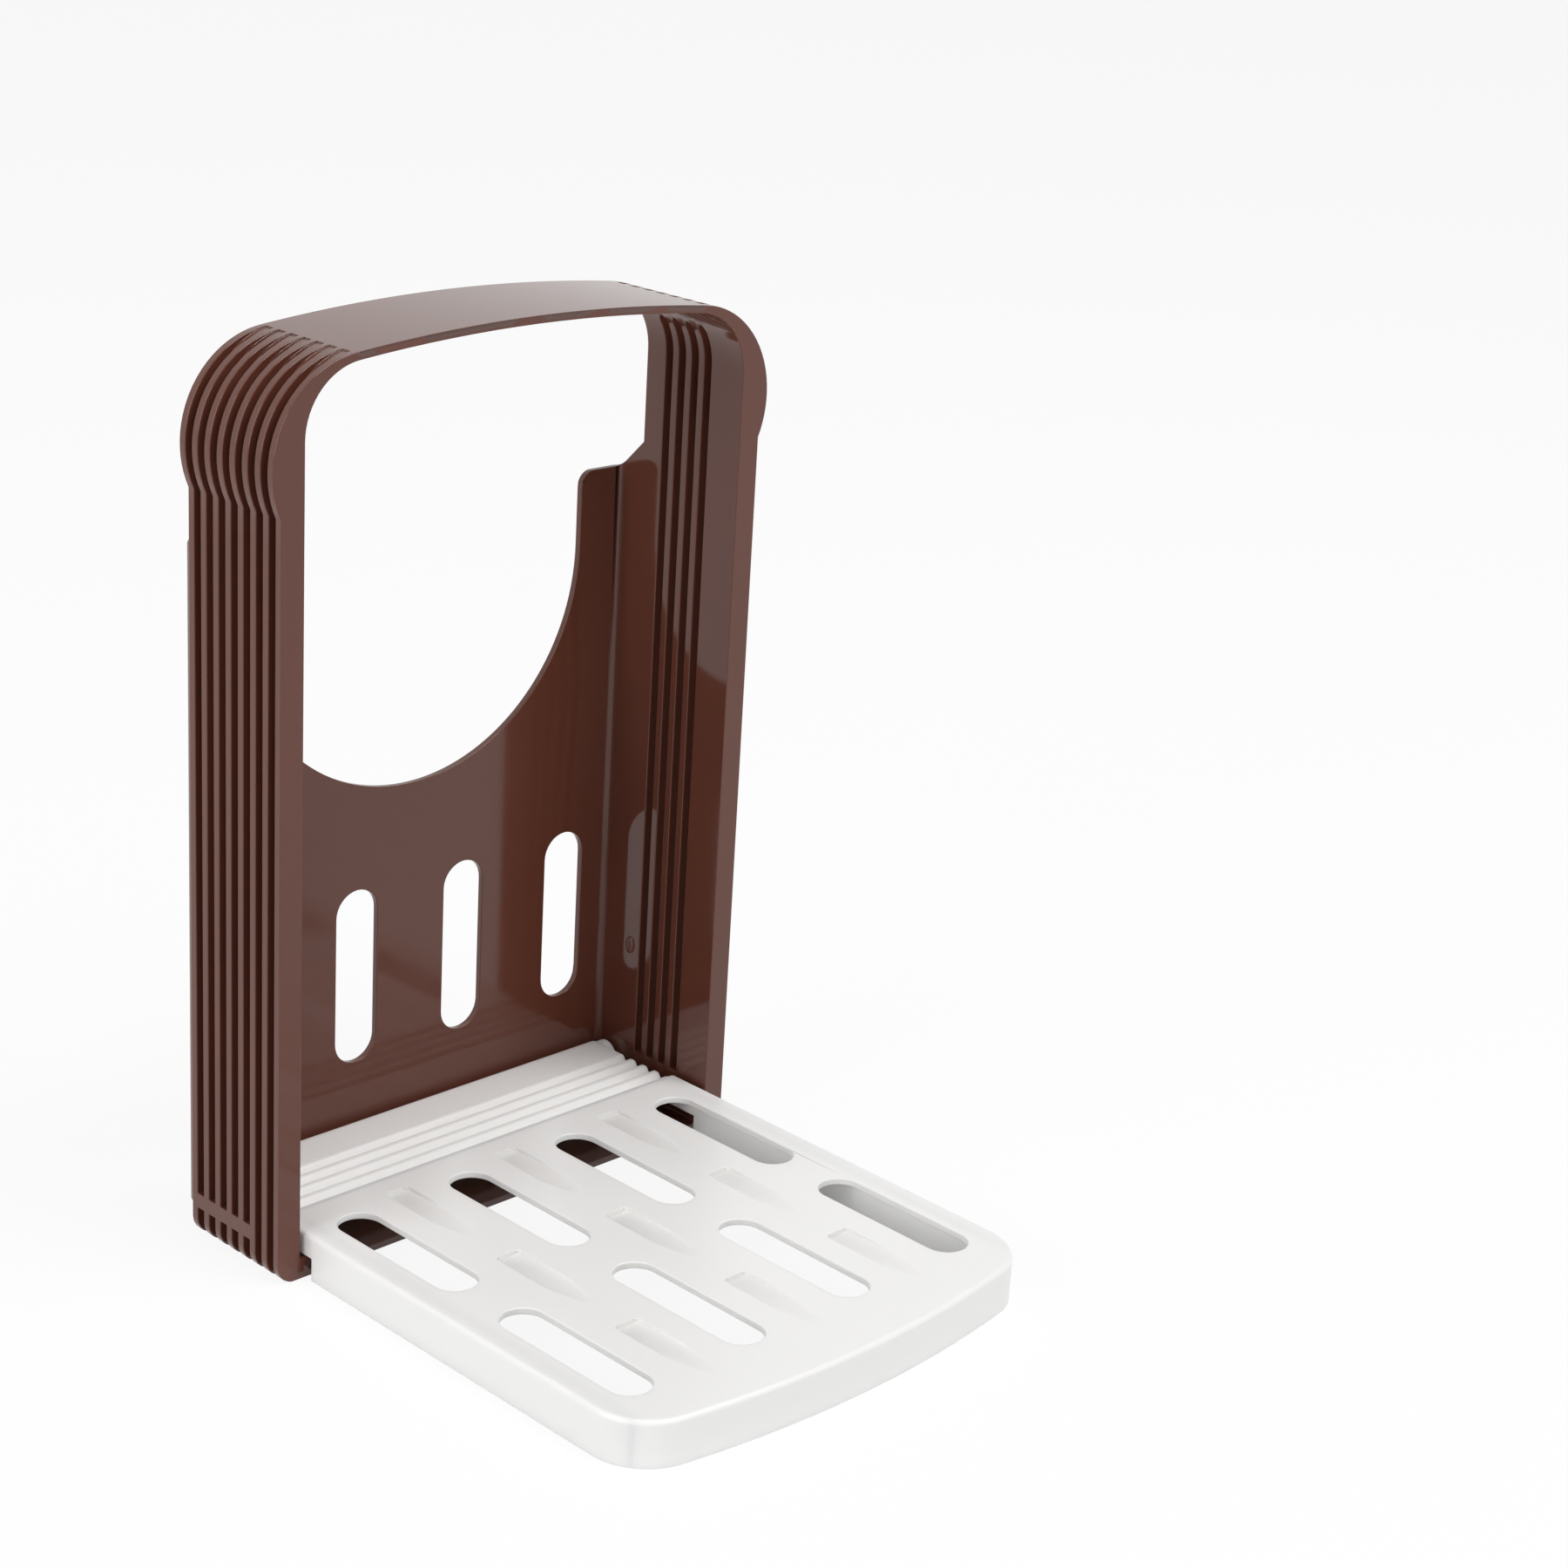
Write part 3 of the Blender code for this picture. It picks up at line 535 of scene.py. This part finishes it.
# How far each vertex of a pocket will be sunk, once the deck has its thickness.
sunk = {}
for row in range(3):
    for column in (-1, 0, 1):
        x = column * slot_pitch
        y = pocket_rear - row * pocket_pitch
        scoop = bmesh.ops.create_grid(tray_mesh, x_segments=10, y_segments=stops, size=0.5,
                                      matrix=Matrix.Translation((0, 0, 5)))["verts"]
        for v in scoop:
            across, run = v.co.x * 2, pocket_stops[round((0.5 - v.co.y) * stops)]
            half = min(pocket_half * sqrt(max(1 - run / pocket_long, blunt) / point_share), pocket_half)
            if run < pocket_corner:
                half = pocket_half - pocket_corner + sqrt(pocket_corner ** 2 - (pocket_corner - run) ** 2)
            at_side = abs(across) > 0.999
            wide = half * (across if at_side else across * spread)
            floor_drop = pocket_deep * (1 - run / pocket_long) - wide ** 2 / (2 * floor_round)
            v.co = (x + wide, y - run, deck_top)
            sunk[spot(v)] = 0 if at_side or run == 0 else max(floor_drop, 0)
bmesh.ops.recalc_face_normals(tray_mesh, faces=tray_mesh.faces)
rear_ends = [v for v in tray_mesh.verts if abs(v.co.y - deck_rear) < tiny and v.co.z > deck_top - tiny]
rear_edge = tray_mesh.edges.get(rear_ends) or tray_mesh.edges.new(rear_ends)
bmesh.ops.subdivide_edges(tray_mesh, edges=[rear_edge], cuts=25)
rim = [e for e in tray_mesh.edges if len(e.link_faces) < 2 and all(v.co.z > deck_top - tiny for v in e.verts)]
bmesh.ops.triangle_fill(tray_mesh, use_beauty=True, use_dissolve=False, edges=rim)
bmesh.ops.delete(tray_mesh, geom=[e for e in tray_mesh.edges if not e.link_faces], context="EDGES")
bmesh.ops.recalc_face_normals(tray_mesh, faces=tray_mesh.faces)
bmesh.ops.solidify(tray_mesh, geom=tray_mesh.faces[:], thickness=wall_thick)

# The deck's lower rear edge reaches a little further into the knife rest than its upper one.
tuck = 0.0005
for v in tray_mesh.verts:
    if abs(v.co.y - deck_rear) < tiny and abs(v.co.z - deck_top + wall_thick) < 1e-5:
        v.co.y += tuck
for v in tray_mesh.verts:
    if v.co.z > deck_top - 1e-5:
        v.co.z -= sunk.get(spot(v), 0)
bmesh.ops.recalc_face_normals(tray_mesh, faces=tray_mesh.faces)
tray_mesh.normal_update()

# Edges too sharp for smooth shading, and too blunt for the small bevel that is added last, stay sharp.
for e in tray_mesh.edges:
    if len(e.link_faces) == 2 and radians(35) < e.calc_face_angle() < radians(79.5):
        e.smooth = False

# Painted shade: the pockets are painted a little darker than the deck around them, darker where deeper, so
# their faces keep how deep they lie, as a share of the full depth. The steep walls take the depth of their
# lower edge, so their lit faces are painted darker too.
painted_pocket_shade = tray_mesh.loops.layers.float.new("painted_pocket_shade")
for f in tray_mesh.faces:
    drops = [sunk.get(spot(v), 0) / pocket_deep for v in f.verts]
    if max(drops) > 0 and f.calc_center_median().z > deck_top - pocket_deep - 0.0001:
        for corner, drop in zip(f.loops, drops):
            corner[painted_pocket_shade] = drop if f.normal.z > 0.7 else max(drops)


def add_part(mesh, part):
    """Puts a finished part of a moulding into its mesh."""
    bmesh.ops.recalc_face_normals(part, faces=part.faces)
    data = bpy.data.meshes.new("part")
    part.to_mesh(data)
    part.free()
    mesh.from_mesh(data)
    bpy.data.meshes.remove(data)


# A rib runs under the deck along each side, stepped up over the frame's ledge.
rib_outer = tray_half - 0.0035
rib_wide = 0.0016
rib_top = deck_top - wall_thick / 2
rib_front = front_y - 0.1130
rib_line = [(rib_front, 0), (notch_y, 0), (notch_y, notch_top), (deck_rear, notch_top),
            (deck_rear, rib_top), (rib_front, rib_top)]
for x in (-rib_outer, rib_outer - rib_wide):
    rib = bmesh.new()
    side_face = rib.faces.new([rib.verts.new((x, y, z)) for y, z in rib_line])
    push_out(rib, [side_face], (rib_wide, 0, 0))
    add_part(tray_mesh, rib)

# Knife rest: rounded ridges with a groove in line with each pair of slits, which stops the blade,
# and then a flat band with a rounded back.
rest_half = tray_half - 0.0021
rest_front = deck_rear - 0.0006
rest_rear = front_y + panel_face - 0.0007
rest_low = 0.0055
rest_round = 0.0030
rest_foot = 0.0020
groove = 0.0018
grooves = len(slit_gaps)
wave_steps = 20 * grooves
profile = [(rest_front, rest_low), (rest_front, deck_top - wall_thick)]
profile += [(deck_rear + grooves * fin_pitch * i / wave_steps,
             deck_top - groove * sin(grooves * pi * i / wave_steps) ** 4) for i in range(wave_steps + 1)]
profile += around(rest_rear - rest_round, deck_top - rest_round, rest_round, pi / 2, 0, 8)
profile += around(rest_rear - rest_foot, rest_low + rest_foot, rest_foot, 0, -pi / 2, 6)
rest = bmesh.new()
side_face = rest.faces.new([rest.verts.new((-rest_half, y, z)) for y, z in profile])
push_out(rest, [side_face], (2 * rest_half, 0, 0))
bmesh.ops.recalc_face_normals(rest, faces=rest.faces)
ends = [e for e in rest.edges if abs(e.verts[0].co.x - e.verts[1].co.x) < tiny and
        all(v.co.z > deck_top - 0.0035 and v.co.y > deck_rear for v in e.verts)]
bmesh.ops.bevel(rest, geom=ends, offset=0.0008, segments=4, profile=0.5, affect="EDGES", material=-1)

# It is hollow underneath, with a rim round the hollow.
rest_rim = 0.0020
rest_hollow = 0.0023
under = faces_at(rest, lambda p: abs(p.z - rest_low) < tiny)
bmesh.ops.inset_region(rest, faces=under, thickness=rest_rim, depth=0)
push_out(rest, under, (0, 0, rest_hollow))
add_part(tray_mesh, rest)

# Round ears at the rear ends carry the stubs that snap into the frame. Each is given by its inner end, its
# outer end and its radius.
pivot_ear = (rest_half - 0.0010, bay_half - 0.0010, 0.0039)
stub = (bay_half - 0.0020, bay_half + skin - 0.0003, 0.0016)
for side in (-1, 1):
    for inner, outer, radius in (pivot_ear, stub):
        middle = Matrix.Translation((side * (inner + outer) / 2, pivot_y, pivot_z))
        bmesh.ops.create_cone(tray_mesh, cap_ends=True, segments=64, radius1=radius, radius2=radius,
                              depth=outer - inner, matrix=middle @ Matrix.Rotation(pi / 2, 4, "Y"))
tray_piece = finished("white_tray", tray_mesh)
soft_edges(tray_piece, width=0.0003, segments=3, angle=radians(80))
flats = tray_piece.modifiers.new("flats", "WEIGHTED_NORMAL")
flats.mode = "FACE_AREA"
flats.weight = 50
flats.keep_sharp = True

white = bpy.data.materials.new("white_plastic")
white.use_nodes = True
tree = white.node_tree
shader = tree.nodes["Principled BSDF"]
shader.inputs["IOR"].default_value = 1.5
shader.inputs["Subsurface Weight"].default_value = 0.5
shader.inputs["Subsurface Radius"].default_value = (1.0, 0.93, 0.86)
shader.inputs["Subsurface Scale"].default_value = 0.0022
place = node(tree, "ShaderNodeTexCoord")
cloud = node(tree, "ShaderNodeTexNoise", Scale=16.0, Detail=3.0, Roughness=0.5)
tint = node(tree, "ShaderNodeMix", data_type="RGBA")
tint.inputs["A"].default_value = (0.890, 0.886, 0.870, 1)
tint.inputs["B"].default_value = (0.920, 0.917, 0.902, 1)
# Painted shade in the pockets: a darker white, mixed in by how deep each pocket face lies.
pocket_shade_share = node(tree, "ShaderNodeAttribute", attribute_name="painted_pocket_shade")
shaded_pocket_tint = node(tree, "ShaderNodeMix", data_type="RGBA")
shaded_pocket_tint.inputs["B"].default_value = (0.795, 0.785, 0.768, 1)
polish = node(tree, "ShaderNodeMapRange", From_Min=0.0, From_Max=1.0, To_Min=0.29, To_Max=0.37)
grain = node(tree, "ShaderNodeTexNoise", Scale=1100.0, Detail=2.0, Roughness=0.5)
dimple = node(tree, "ShaderNodeBump", Strength=0.04, Distance=0.00005)
tree.links.new(place.outputs["Object"], cloud.inputs["Vector"])
tree.links.new(place.outputs["Object"], grain.inputs["Vector"])
tree.links.new(cloud.outputs["Fac"], tint.inputs["Factor"])
tree.links.new(pocket_shade_share.outputs["Fac"], shaded_pocket_tint.inputs["Factor"])
tree.links.new(tint.outputs["Result"], shaded_pocket_tint.inputs["A"])
tree.links.new(shaded_pocket_tint.outputs["Result"], shader.inputs["Base Color"])
tree.links.new(cloud.outputs["Fac"], polish.inputs["Value"])
tree.links.new(polish.outputs["Result"], shader.inputs["Roughness"])
tree.links.new(grain.outputs["Fac"], dimple.inputs["Height"])
tree.links.new(dimple.outputs["Normal"], shader.inputs["Normal"])
tray_piece.data.materials.clear()
tray_piece.data.materials.append(white)

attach(tray_piece, "tray")
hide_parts("tray")


# Table.
# A plain white top that the guide stands on. It takes the guide's soft shadow, and elsewhere looks nearly
# pure white.

def bare_view(tree, rays):
    """One where the surface is seen, in a reflection or through something too, and nought where it lights."""
    mirrored = node(tree, "ShaderNodeMath", operation="MAXIMUM")
    seen = node(tree, "ShaderNodeMath", operation="MAXIMUM")
    tree.links.new(rays.outputs["Is Glossy Ray"], mirrored.inputs[0])
    tree.links.new(rays.outputs["Is Transmission Ray"], mirrored.inputs[1])
    tree.links.new(rays.outputs["Is Camera Ray"], seen.inputs[0])
    tree.links.new(mirrored.outputs["Value"], seen.inputs[1])
    return seen


table = bmesh.new()
bmesh.ops.create_grid(table, x_segments=1, y_segments=1, size=6.0)
table_top = finished("table_top", table)
paper = bpy.data.materials.new("white_table")
paper.use_nodes = True
tree = paper.node_tree
out = tree.nodes["Material Output"]
tree.nodes.remove(tree.nodes["Principled BSDF"])
matt = node(tree, "ShaderNodeBsdfDiffuse")
matt.inputs["Color"].default_value = (0.95, 0.95, 0.95, 1)
clean = node(tree, "ShaderNodeEmission", Strength=1.0)
rays = node(tree, "ShaderNodeLightPath")
seen = bare_view(tree, rays)
share = node(tree, "ShaderNodeMath", operation="MULTIPLY")
share.inputs[1].default_value = 0.9
blend = node(tree, "ShaderNodeMixShader")
tree.links.new(seen.outputs["Value"], share.inputs[0])
tree.links.new(share.outputs["Value"], blend.inputs["Fac"])
tree.links.new(matt.outputs["BSDF"], blend.inputs[1])
tree.links.new(clean.outputs["Emission"], blend.inputs[2])
tree.links.new(blend.outputs["Shader"], out.inputs["Surface"])
table_top.data.materials.append(paper)


# Light.
# A pale room with two soft square lamps, a metre wide: a weak one low at the left, and a stronger one high up
# in front.

world = bpy.data.worlds.new("pale_room")
bpy.context.scene.world = world
world.use_nodes = True
tree = world.node_tree
air = tree.nodes["Background"]
air.inputs["Color"].default_value = (1, 1, 1, 1)
rays = node(tree, "ShaderNodeLightPath")
seen = bare_view(tree, rays)
level = node(tree, "ShaderNodeMapRange", To_Min=0.29, To_Max=1.0)
tree.links.new(seen.outputs["Value"], level.inputs["Value"])
tree.links.new(level.outputs["Result"], air.inputs["Strength"])


def soft_lamp(name, place, power):
    """A square lamp that faces the lower part of the guide."""
    lamp = bpy.data.lights.new(name, "AREA")
    lamp.shape = "SQUARE"
    lamp.size = 1.0
    lamp.energy = power
    holder = bpy.data.objects.new(name, lamp)
    holder.location = place
    holder.rotation_euler = (Vector((0, 0, 0.05)) - Vector(place)).to_track_quat("-Z", "Y").to_euler()
    bpy.context.scene.collection.objects.link(holder)


soft_lamp("left_lamp", (-1.40, 0.10, 0.72), power=10.5)
soft_lamp("right_lamp", (0.30, -0.80, 1.60), power=20)


# Camera.
# At the photograph's viewing angle, with the lens worked out from the guide's own edges.

camera = bpy.data.objects.new("camera", bpy.data.cameras.new("camera"))
camera.location = (-0.4783, -0.5053, 0.3748)
camera.rotation_euler = (radians(70.3053), radians(-3.2986), radians(-45.0617))
camera.data.lens = 72.42
camera.data.sensor_width = 36.0
camera.data.clip_start = 0.05
camera.data.clip_end = 20.0
bpy.context.scene.collection.objects.link(camera)
bpy.context.scene.camera = camera

bpy.context.scene.view_settings.view_transform = "Standard"
